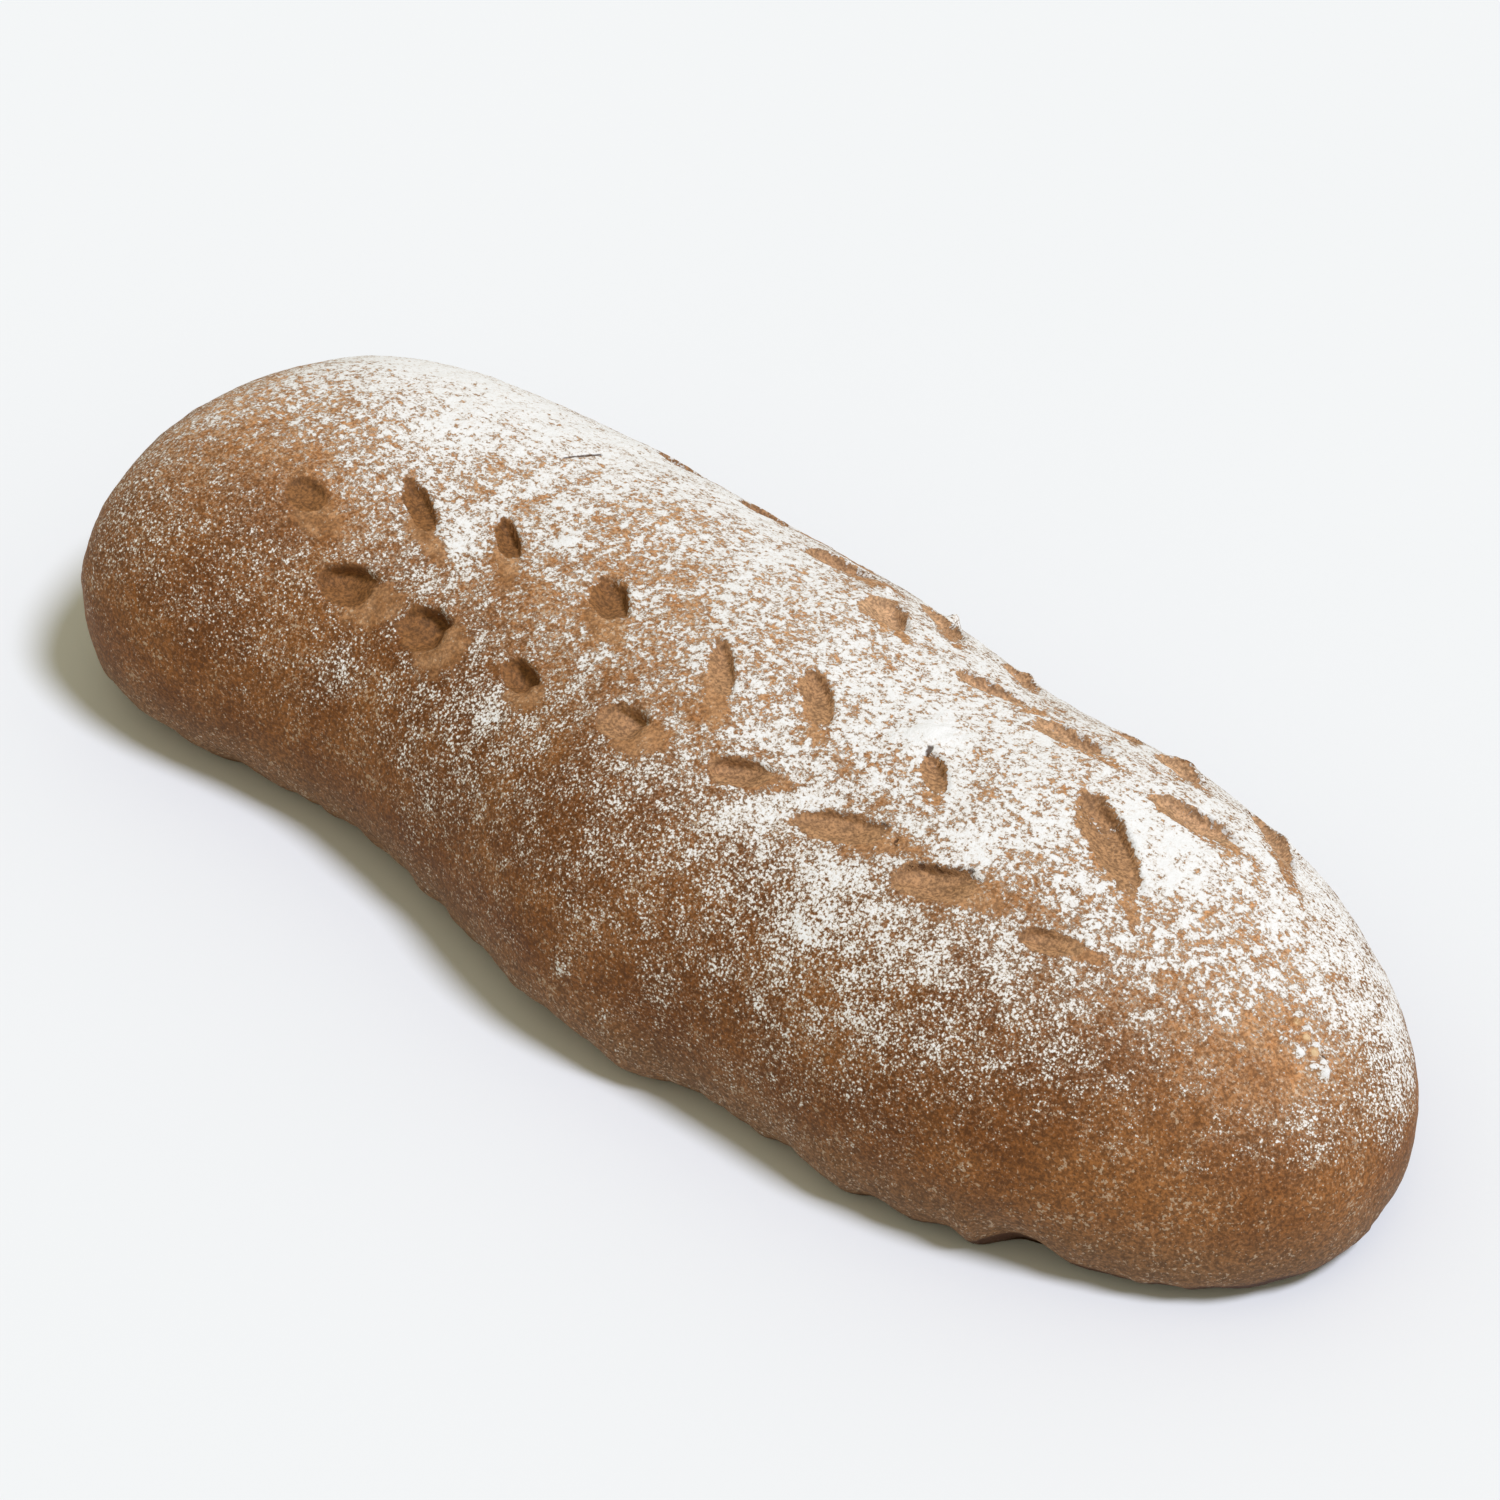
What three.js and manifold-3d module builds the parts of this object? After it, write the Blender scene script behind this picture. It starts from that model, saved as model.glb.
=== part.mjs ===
// Long free-form loaf, baked as one piece, in millimetres.
// +X runs along the loaf, +Y across it and +Z up. It rests on z = 0 under the middle of its length.

import * as THREE from 'three';
import { mergeVertices } from 'three/addons/utils/BufferGeometryUtils.js';
import Module from 'manifold-3d';

const wasm = await Module();
wasm.setup();

// Overall length, and the rounding of the two ends seen from above and from the side.
const LENGTH = 380;
const LEFT_END_ROUNDING = 2.6;
const RIGHT_END_ROUNDING = 2.4;
const CROWN_END_ROUNDING = 2.3;
const UNDERSIDE_END_ROUNDING = 4.5;

// Evenly spaced stations, from the left end to the right: how far the dough bends aside,
// and the half width and height that it would have there without the rounding of the ends.
const STATIONS = [
  { bend: -8, halfWidth: 100, height: 105 },
  { bend: 2, halfWidth: 83, height: 89 },
  { bend: 9, halfWidth: 71, height: 76 },
  { bend: 6, halfWidth: 70, height: 74 },
  { bend: -1, halfWidth: 74, height: 76 },
  { bend: -2, halfWidth: 70, height: 75 },
  { bend: -1, halfWidth: 75, height: 78 },
  { bend: 0, halfWidth: 74, height: 79 },
  { bend: -3, halfWidth: 72, height: 76 },
];

// Cross-section: widest at BELLY of the height, round above it and tucked in to the base below it.
const BELLY = 0.3;
const BASE_WIDTH_SHARE = 0.86;
const CROWN_ROUNDING = 2.15;
const TUCK_ROUNDING = 2.8;
const TUCK_STRETCH = (1 - BASE_WIDTH_SHARE ** TUCK_ROUNDING) ** (-1 / TUCK_ROUNDING);

// Facets round the girth and along the loaf, and round and along one press mark.
const GIRTH_FACETS = 36;
const LENGTH_FACETS = 50;
const MARK_GIRTH_FACETS = 10;
const MARK_LENGTH_FACETS = 8;

// Two ears of grain pressed into the crust. Each ear has a lower and an upper row of marks,
// and each mark has its place along and across the loaf, its length and its width.
// A row shares its turn from +X and its depth as a share of the width.
const EAR_ROWS = [
  {
    turn: 22,
    depthShare: 0.44,
    marks: [
      { along: -101, across: -34, length: 23, width: 14 },
      { along: -73, across: -33, length: 19, width: 15 },
      { along: -42, across: -34, length: 16, width: 11 },
      { along: -9, across: -35, length: 20, width: 12 },
      { along: 26, across: -30, length: 23, width: 10 },
      { along: 55, across: -28, length: 31, width: 11 },
      { along: 83, across: -28, length: 28, width: 12 },
      { along: 114, across: -24, length: 24, width: 8 },
    ],
  },
  {
    turn: -34,
    depthShare: 0.4,
    marks: [
      { along: -126, across: -21, length: 19, width: 13 },
      { along: -98, across: -8, length: 26, width: 9 },
      { along: -74, across: -3, length: 24, width: 9 },
      { along: -38, across: -6, length: 25, width: 13 },
      { along: 1, across: -11, length: 30, width: 8 },
      { along: 25, across: -3, length: 29, width: 9 },
      { along: 61, across: -5, length: 20, width: 8 },
      { along: 106, across: 5, length: 42, width: 13 },
    ],
  },
  {
    turn: 15,
    depthShare: 0.36,
    marks: [
      { along: -105, across: 66, length: 24, width: 11 },
      { along: -73, across: 63, length: 22, width: 12 },
      { along: -42, across: 60, length: 24, width: 11 },
      { along: -12, across: 50, length: 25, width: 13 },
      { along: 13, across: 38, length: 20, width: 12 },
      { along: 49, across: 33, length: 24, width: 8 },
      { along: 75, across: 31, length: 26, width: 10 },
      { along: 113, across: 30, length: 29, width: 9 },
    ],
  },
  {
    turn: -30,
    depthShare: 0.34,
    marks: [
      { along: -88, across: 70, length: 20, width: 10 },
      { along: -56, across: 68, length: 22, width: 10 },
      { along: -20, across: 63, length: 22, width: 10 },
      { along: 18, across: 52, length: 26, width: 11 },
      { along: 45, across: 49, length: 18, width: 11 },
      { along: 77, across: 49, length: 14, width: 9 },
      { along: 96, across: 47, length: 18, width: 11 },
      { along: 123, across: 45, length: 34, width: 10 },
    ],
  },
];

// A mark leans so that it is deepest at its start and steepest along its upper edge.
const MARK_NOSE_DOWN = THREE.MathUtils.degToRad(7);
const MARK_LEAN = THREE.MathUtils.degToRad(14);

const sectionLaw = new THREE.CatmullRomCurve3(
  STATIONS.map((station) => new THREE.Vector3(station.bend, station.halfWidth, station.height)),
  false,
  'catmullrom',
  0.5,
);

function rounded(share, rounding) {
  return (1 - Math.abs(share) ** rounding) ** (1 / rounding);
}

// Bend, reach to each side, height of the belly, and rise above and drop below it, at -1 to 1 along.
function sectionAt(share) {
  const law = sectionLaw.getPoint((share + 1) / 2);
  const bellyHeight = BELLY * law.z;
  const endRounding = share < 0 ? LEFT_END_ROUNDING : RIGHT_END_ROUNDING;
  return {
    bend: law.x,
    reach: law.y * rounded(share, endRounding),
    bellyHeight,
    rise: (law.z - bellyHeight) * rounded(share, CROWN_END_ROUNDING),
    drop: TUCK_STRETCH * bellyHeight * rounded(share, UNDERSIDE_END_ROUNDING),
  };
}

// A point of the crust before the base is cut flat. The angle is 0 on the +Y side and a quarter turn on top.
function crustPoint(share, angle) {
  const section = sectionAt(share);
  const sideways = Math.cos(angle);
  const upward = Math.sin(angle);
  const rounding = upward < 0 ? TUCK_ROUNDING : CROWN_ROUNDING;
  const climb = upward < 0 ? section.drop : section.rise;
  return new THREE.Vector3(
    (share * LENGTH) / 2,
    section.bend + section.reach * Math.sign(sideways) * Math.abs(sideways) ** (2 / rounding),
    section.bellyHeight + climb * Math.sign(upward) * Math.abs(upward) ** (2 / rounding),
  );
}

// The angle round the crown at which the crust stands at a given distance across the loaf.
function crownAngle(share, across) {
  const section = sectionAt(share);
  const offset = (across - section.bend) / section.reach;
  return Math.acos(Math.sign(offset) * Math.abs(offset) ** (CROWN_ROUNDING / 2));
}

function outwardNormal(share, angle) {
  const step = 1e-3;
  const along = crustPoint(share + step, angle).sub(crustPoint(share - step, angle));
  const round = crustPoint(share, angle + step).sub(crustPoint(share, angle - step));
  return round.cross(along).normalize();
}

// A sphere with its poles at the two ends, each of its points moved out to the crust.
function crustGeometry() {
  const geometry = new THREE.SphereGeometry(1, GIRTH_FACETS, LENGTH_FACETS);
  geometry.rotateZ(Math.PI / 2);
  const position = geometry.attributes.position;
  const point = new THREE.Vector3();
  for (let i = 0; i < position.count; i += 1) {
    point.fromBufferAttribute(position, i);
    const share = THREE.MathUtils.clamp(point.x, -1, 1);
    const angle = Math.atan2(point.z, point.y);
    position.setXYZ(i, ...crustPoint(share, angle));
  }
  return geometry;
}

// One press mark: a long ball, leaning, centred on the crust.
function markGeometry(mark, row) {
  const share = (2 * mark.along) / LENGTH;
  const angle = crownAngle(share, mark.across);
  const normal = outwardNormal(share, angle);
  const forward = new THREE.Vector3(1, 0, 0).projectOnPlane(normal).normalize();
  const leftward = normal.clone().cross(forward);
  const geometry = new THREE.SphereGeometry(1, MARK_GIRTH_FACETS, MARK_LENGTH_FACETS);
  geometry.rotateZ(Math.PI / 2);
  geometry.scale(mark.length / 2, mark.width / 2, mark.width * row.depthShare);
  geometry.rotateX(-MARK_LEAN);
  geometry.rotateY(-MARK_NOSE_DOWN);
  geometry.rotateZ(THREE.MathUtils.degToRad(row.turn));
  geometry.applyMatrix4(new THREE.Matrix4().makeBasis(forward, leftward, normal));
  geometry.translate(...crustPoint(share, angle));
  return geometry;
}

// Everything below the table.
function belowTableGeometry() {
  const geometry = new THREE.BoxGeometry(2 * LENGTH, LENGTH, LENGTH);
  geometry.translate(0, 0, -LENGTH / 2);
  return geometry;
}

function solidOf(geometry) {
  geometry.deleteAttribute('normal');
  geometry.deleteAttribute('uv');
  const merged = mergeVertices(geometry);
  return new wasm.Manifold(new wasm.Mesh({
    numProp: 3,
    vertProperties: merged.attributes.position.array,
    triVerts: merged.index.array,
  }));
}

function geometryOf(solid) {
  const mesh = solid.getMesh();
  const geometry = new THREE.BufferGeometry();
  geometry.setAttribute('position', new THREE.BufferAttribute(mesh.vertProperties, mesh.numProp));
  geometry.setIndex(new THREE.BufferAttribute(mesh.triVerts, 1));
  return geometry;
}

// The crust with its base cut flat and every mark pressed in.
function loafGeometry() {
  let solid = solidOf(crustGeometry()).subtract(solidOf(belowTableGeometry()));
  for (const row of EAR_ROWS) {
    for (const mark of row.marks) {
      solid = solid.subtract(solidOf(markGeometry(mark, row)));
    }
  }
  return geometryOf(solid);
}

// Centres the loaf across the table, so that the origin lies under the middle of its box.
function centredAcross(geometry) {
  geometry.computeBoundingBox();
  const middle = geometry.boundingBox.getCenter(new THREE.Vector3());
  geometry.translate(-middle.x, -middle.y, 0);
  return geometry;
}

function crustMaterial() {
  return new THREE.MeshStandardMaterial({ color: 0xa9774a, roughness: 0.9, metalness: 0 });
}

function loaf() {
  const mesh = new THREE.Mesh(centredAcross(loafGeometry()), crustMaterial());
  mesh.name = 'loaf';
  return mesh;
}

const group = new THREE.Group();
group.add(loaf());

export default group;
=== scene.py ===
"""A long flour-dusted hearth loaf, in metres.

One fine closed mesh stands for the CAD solid. It follows the solid's own outline and adds the press marks,
lumps, scars and uneven hem as real shape. Each point stores the amounts that the crust material works from.
"""

import math

import bpy
import numpy as np
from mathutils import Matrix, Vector

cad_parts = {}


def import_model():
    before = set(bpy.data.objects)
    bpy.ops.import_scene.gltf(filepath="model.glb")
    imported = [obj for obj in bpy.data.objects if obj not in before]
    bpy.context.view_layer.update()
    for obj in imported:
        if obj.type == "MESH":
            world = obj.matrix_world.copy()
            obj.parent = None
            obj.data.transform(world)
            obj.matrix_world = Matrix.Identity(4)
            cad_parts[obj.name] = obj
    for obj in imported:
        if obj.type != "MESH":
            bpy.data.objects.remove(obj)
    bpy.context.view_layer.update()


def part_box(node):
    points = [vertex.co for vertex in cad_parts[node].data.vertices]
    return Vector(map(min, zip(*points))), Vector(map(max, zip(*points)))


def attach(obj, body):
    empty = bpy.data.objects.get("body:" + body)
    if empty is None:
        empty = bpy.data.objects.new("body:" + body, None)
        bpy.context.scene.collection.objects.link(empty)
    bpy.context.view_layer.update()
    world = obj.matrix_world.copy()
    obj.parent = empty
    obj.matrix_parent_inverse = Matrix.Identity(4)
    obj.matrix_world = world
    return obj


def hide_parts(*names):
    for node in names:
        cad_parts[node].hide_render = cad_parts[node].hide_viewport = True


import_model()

MM = 0.001
SEED = 11
low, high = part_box("loaf")
LENGTH = high.x - low.x

# ---------------------------------------------------------------- the solid's outline, as in the CAD part

# How square the ends are: the -X end and the +X end seen from above, then crown and underside from the side.
END_ROUNDING = (2.6, 2.4)
CROWN_END_ROUNDING = 2.3
UNDERSIDE_END_ROUNDING = 4.5
# The bend to +Y, the half width and the height at even stations from the -X end on, before rounding.
BEND = np.array([-8, 2, 9, 6, -1, -2, -1, 0, -3]) * MM
HALF_WIDTH = np.array([100, 83, 71, 70, 74, 70, 75, 74, 72]) * MM
HEIGHT = np.array([105, 89, 76, 74, 76, 75, 78, 79, 76]) * MM
# The loaf is widest at this share of its height, and narrows below that to its base.
BELLY = 0.3
BASE_WIDTH_SHARE = 0.86
CROWN_ROUNDING = 2.15
TUCK_ROUNDING = 2.8
TUCK_STRETCH = (1 - BASE_WIDTH_SHARE**TUCK_ROUNDING) ** (-1 / TUCK_ROUNDING)
CENTRING_SAMPLES = 2001


def through(stations, share):
    """A smooth curve through evenly spaced stations, at a share from -1 to 1 along the loaf."""
    place = (np.clip(share, -1, 1) + 1) / 2 * (len(stations) - 1)
    first = np.clip(place.astype(int), 0, len(stations) - 2)
    t = place - first
    before, after = 2 * stations[0] - stations[1], 2 * stations[-1] - stations[-2]
    padded = np.concatenate([[before], stations, [after]])
    a, b, c, d = (padded[first + k] for k in range(4))
    start = (2 * t**3 - 3 * t**2 + 1) * b + (t**3 - 2 * t**2 + t) * (c - a) / 2
    return start + (3 * t**2 - 2 * t**3) * c + (t**3 - t**2) * (d - b) / 2


def rounded(share, rounding):
    """1 in the middle and 0 at a share of -1 or 1; a rounding of 2 is a circle, and more is squarer."""
    return np.maximum(1 - np.abs(share) ** rounding, 0) ** (1 / rounding)


def section(share):
    """Bend, reach to each side, belly height, rise above it and drop below it."""
    height = through(HEIGHT, share)
    reach = through(HALF_WIDTH, share) * rounded(share, np.where(share < 0, *END_ROUNDING))
    belly = BELLY * height
    rise = (height - belly) * rounded(share, CROWN_END_ROUNDING)
    drop = TUCK_STRETCH * belly * rounded(share, UNDERSIDE_END_ROUNDING)
    return through(BEND, share), reach, belly, rise, drop


def crust(share, angle):
    """Points of the crust; the angle is 0 on the +Y side and a quarter turn on top."""
    bend, reach, belly, rise, drop = section(share)
    across, up = np.cos(angle), np.sin(angle)
    rounding = np.where(up < 0, TUCK_ROUNDING, CROWN_ROUNDING)
    climb = np.where(up < 0, -drop, rise)
    y = bend + reach * np.sign(across) * np.abs(across) ** (2 / rounding)
    z = belly + climb * np.abs(up) ** (2 / rounding)
    return np.stack(np.broadcast_arrays(share * LENGTH / 2, y, z), -1)


def centring():
    """The move that puts the outline in the middle of its own width, where the solid is."""
    sides = crust(np.linspace(-1, 1, CENTRING_SAMPLES)[:, None], np.array([[0, math.pi]]))[..., 1]
    return Vector((0, -(sides.min() + sides.max()) / 2, 0))


CENTRING = centring()

# ---------------------------------------------------------------- noise, the same on every run

HASH_FACTORS = (73856093, 19349663, 83492791)
SEED_FACTOR = 2654435761
MIXING_FACTOR = 1274126177
LOW_32_BITS = 0xFFFFFFFF
GRADIENT_BITS = 1023
GRADIENT_SHIFTS = (0, 10, 20)
LATTICE_GAIN = 1.6


def lattice_noise(points, size, seed):
    """Gradient noise of about -1 to 1 with features of the given size."""
    cell = points / size
    base = np.floor(cell).astype(np.int64)
    inner = cell - base
    ease = inner * inner * inner * (inner * (inner * 6 - 15) + 10)
    total = np.zeros(len(points))
    for corner in range(8):
        offset = np.array([corner & 1, (corner >> 1) & 1, corner >> 2])
        key = (base + offset) * np.array(HASH_FACTORS)
        mixed = key[:, 0] ^ key[:, 1] ^ key[:, 2] ^ (seed * SEED_FACTOR)
        mixed = (mixed ^ (mixed >> 13)) * MIXING_FACTOR
        mixed = (mixed ^ (mixed >> 16)) & LOW_32_BITS
        chances = np.stack([mixed >> shift & GRADIENT_BITS for shift in GRADIENT_SHIFTS], -1)
        gradient = chances / (GRADIENT_BITS / 2) - 1
        weight = np.prod(np.where(offset, ease, 1 - ease), -1)
        total += weight * np.sum(gradient * (inner - offset), -1)
    return total * LATTICE_GAIN


def layered(points, size, seed, layers=3, fade=0.5):
    """Noise in layers, each with half the size and a share of the height of the one before."""
    return sum(fade**k * lattice_noise(points, size / 2**k, seed + k) for k in range(layers))


def smooth(start, end, value):
    """0 before the start, 1 past the end and a smooth step between them; the start may be the higher one."""
    t = np.clip((value - start) / (end - start), 0, 1)
    return t * t * (3 - 2 * t)


def band(rise, fall, value):
    """Rises from 0 over one range of the value, and falls back to 0 over another."""
    return smooth(*rise, value) * (1 - smooth(*fall, value))


def hill(value, middle, reach):
    """1 in the middle, falling off to both sides."""
    return np.exp(-(((value - middle) / reach) ** 2))


# ---------------------------------------------------------------- the fine grid

STEP = 0.8 * MM
SPACING_SAMPLES = 20001
# A ring has a point for each step of this length, which is more than the crust measures from foot to foot.
GIRTH = 300 * MM
# The crust ends at the foot, at most this many degrees round below the belly.
LOWEST_FOOT = 86
BASE_STRIPS = 24
BASE_ANGLE = 1.5 * math.pi
BASE_SHARE_OF_MAP = 0.08
# These keep divisions away from zero at the tips.
LEAST_DROP = 1e-9
LEAST_NORMAL = 1e-12


def even_shares():
    """Places along the loaf that are evenly spaced over the crust, ends included."""
    fine = -np.cos(np.linspace(0, math.pi, SPACING_SAMPLES))
    _, reach, _, rise, _ = section(fine)
    outward_step = np.hypot(np.diff(reach), np.diff(rise)) / math.sqrt(2)
    run = np.concatenate([[0], np.cumsum(np.hypot(np.diff(fine * LENGTH / 2), outward_step))])
    count = int(run[-1] / STEP)
    return np.interp(np.linspace(0, run[-1], count + 1), run, fine)


def grid():
    """Rings of points, each over the crown from the near foot to the far foot and back under the loaf."""
    shares = even_shares()[1:-1]
    _, _, belly, _, drop = section(shares)
    foot_sine = (belly / np.maximum(drop, LEAST_DROP)) ** (TUCK_ROUNDING / 2)
    foot = np.arcsin(np.minimum(foot_sine, math.sin(math.radians(LOWEST_FOOT))))
    around = int(GIRTH / STEP)
    near_foot = math.pi + foot
    angle = near_foot[:, None] + (-foot - near_foot)[:, None] * np.linspace(0, 1, around)[None]
    over = crust(shares[:, None], angle)
    back = np.linspace(0, 1, BASE_STRIPS + 1)[None, 1:-1, None]
    under = over[:, -1:] + (over[:, :1] - over[:, -1:]) * back
    rings = np.concatenate([over, under], 1)
    tips = crust(np.array([-1.0, 1.0]), np.array([0.0, 0.0]))
    angle = np.concatenate([angle, np.full((len(shares), BASE_STRIPS - 1), BASE_ANGLE)], 1)
    return shares, rings, tips, around, angle


def grid_normals(rings):
    """Unit vectors out of the loaf, from each point's neighbours."""
    along = np.gradient(rings, axis=0)
    across = np.roll(rings, -1, 1) - np.roll(rings, 1, 1)
    normals = np.cross(across, along)
    normals /= np.linalg.norm(normals, axis=-1, keepdims=True) + LEAST_NORMAL
    if np.sum(normals * (rings - rings.mean((0, 1)))) < 0:
        return -normals
    return normals


shares, rings, TIPS, AROUND, ring_angles = grid()
ROWS, RING = rings.shape[:2]
plain_points = rings.reshape(-1, 3)
outward = grid_normals(rings).reshape(-1, 3)
on_base = np.tile(np.arange(RING) >= AROUND, ROWS)

# ---------------------------------------------------------------- press marks

# Four rows of marks, each in mm and degrees: place along and across, length, width, turn from +X and depth.
# Then how much the mark narrows to its tail, and where it is deepest, from -1 at its start to 1 at its tail.
MARK_ROWS = [
    [
        (-99.5, -33.4, 19, 13, 20, 4.2, 0.1, -0.2),
        (-74.5, -33.7, 16, 15, 20, 5.0, 0.0, 0.3),
        (-42.5, -34.3, 13, 9.5, -9, 4.0, 0.1, 0.0),
        (-9.4, -34.7, 16, 11.5, 17, 4.0, 0.0, 0.4),
        (25.0, -29.9, 18, 8.6, 26, 3.4, 0.3, -0.3),
        (54.0, -28.6, 25, 9.4, 22, 2.3, 0.1, -0.1),
        (82.0, -28.4, 22, 11, 25, 3.0, 0.0, -0.1),
        (113.0, -24.6, 18, 6.6, 23, 2.2, 0.3, -0.5),
    ],
    [
        (-124.9, -21.7, 16, 10, -4, 1.5, 0.1, -0.2),
        (-99, -8.2, 23, 7.4, -28, 2.4, 0.3, -0.3),
        (-74.5, -3.4, 18, 7, -37, 3.2, 0.2, -0.4),
        (-39, -5.8, 20, 11, -34, 3.2, 0.2, -0.2),
        (0.5, -10.2, 24, 7, -46, 2.2, 0.1, -0.5),
        (24.0, -2.6, 21, 8, -40, 2.3, 0.2, -0.5),
        (61.0, -4.3, 16, 6.6, -40, 2.2, 0.2, -0.6),
        (105.5, 5.4, 37, 11, -31, 3.2, 0.4, -0.5),
    ],
    [
        (-105, 66, 22, 9, 15, 2.4, 0.3, -0.3),
        (-73, 63, 20, 10, 15, 2.6, 0.3, -0.3),
        (-42, 60, 22, 9, 15, 2.4, 0.3, -0.3),
        (-13.0, 50.6, 22, 11, 17, 2.8, 0.2, 0.0),
        (12.0, 37.6, 18, 12, -21, 3.2, 0.5, 0.0),
        (49.0, 33.3, 23, 6.6, 14, 2.2, 0.3, -0.2),
        (74.0, 30.9, 24, 8.5, 6, 2.5, 0.2, 0.1),
        (112.0, 29.9, 26, 9, 14, 2.6, 0.2, 0.0),
    ],
    [
        (-88, 70, 18, 8, -30, 2.2, 0.3, -0.3),
        (-56, 68, 19, 8, -30, 2.2, 0.3, -0.3),
        (-20, 63, 19, 8, -30, 2.2, 0.3, -0.3),
        (18.0, 52.0, 25, 9, -33, 2.6, 0.2, 0.0),
        (44.5, 49.6, 16, 9, -28, 2.4, 0.2, -0.2),
        (77, 49, 10, 8, -20, 1.8, 0.2, -0.2),
        (94, 47, 16, 9.5, -6, 2.6, 0.2, 0.1),
        (122, 47.0, 32, 8.5, -33, 2.6, 0.3, -0.1),
    ],
]
# Marks with a torn upper lip: the row, the number in it, and where along the mark the tear starts.
TORN_LIPS = ((0, 5, 0.35), (0, 6, -1.0))
TEAR_START = 0.3

# A mark's outline number is 0 in its middle and 1 at its edge. The places ahead and aside run from -1 to 1.
BLUNTNESS = 2.4
OUTLINE_WOBBLE, WOBBLE_SIZE, WOBBLE_LAYERS, WOBBLE_FADE = 0.1, 6 * MM, 3, 0.6
LEAST_OUTLINE = 1e-6
# The least and most that the taper leaves of a mark's width.
NARROWING = (0.35, 1.6)
# A mark moves the crust up to this many of its lengths away, where the crust faces roughly the same way.
SURROUNDINGS = 1.9
SAME_SIDE = 0.2
# The upper edge and the start fall steeply, and the other side runs out flush.
STEEP_ASIDE, STEEP_AHEAD = 0.95, -0.35
STEEP = (-0.2, 0.55)
WALL = (0.74, 1.0)
DEEP_REACH, LEAST_DEPTH, DEPTH_RANGE = 0.8, 0.3, 0.7
# Heights and moves as shares of the depth: a raised rim, and a lip pulled over the steep wall.
RIM_RISE, RIM_FALL, RIM_HEIGHT = (0.9, 1.02), (1.0, 1.45), 0.2
LIP_PLACE, LIP_REACH, LIP_PULL = 0.98, 0.13, 0.24
SHELF_RISE, SHELF_FALL = (0.78, 0.92), (0.95, 1.01)
TORN_RISE, TORN_FALL = (0.80, 0.86), (0.96, 1.0)
# The marks towards -X run out into skin that the press dragged along; the others have a crisp edge.
CRISP_FROM, CRISPNESS = (-20, 30), 0.6
RUN_OUT, TAIL, TAIL_RUN_OUT, SIDE_RUN_OUT = (0.3, 0.9), (0.1, 1.0), 0.6, 0.25
SKIN_AHEAD, SKIN_AHEAD_REACH = 0.75, 1.05
SKIN_ASIDE, SKIN_ASIDE_REACH = -0.55, 1.15
LEAST_SKIN, SKIN_RANGE = 0.45, 0.55
# How far apart the crust is sampled for its normal, as a share along and as an angle.
NORMAL_STEP = 1e-3


def mark_place(along, across):
    """Centre and outward normal of the crust at a place along and across the loaf, given in mm."""
    share = np.array([2 * along * MM / LENGTH])
    bend, reach = section(share)[:2]
    offset = (across * MM - bend) / reach
    angle = np.arccos(np.sign(offset) * np.abs(offset) ** (CROWN_ROUNDING / 2))
    run_along = crust(share + NORMAL_STEP, angle) - crust(share - NORMAL_STEP, angle)
    run_round = crust(share, angle + NORMAL_STEP) - crust(share, angle - NORMAL_STEP)
    normal = np.cross(run_round, run_along)[0]
    return crust(share, angle)[0], normal / np.linalg.norm(normal)


def mark_axes(normal, turn):
    """Unit vectors along a mark and to its left, on the crust, turned from +X by some degrees."""
    forward = np.array([1.0, 0, 0]) - normal[0] * normal
    forward /= np.linalg.norm(forward)
    left = np.cross(normal, forward)
    cosine, sine = math.cos(math.radians(turn)), math.sin(math.radians(turn))
    return forward * cosine + left * sine, left * cosine - forward * sine


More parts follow.
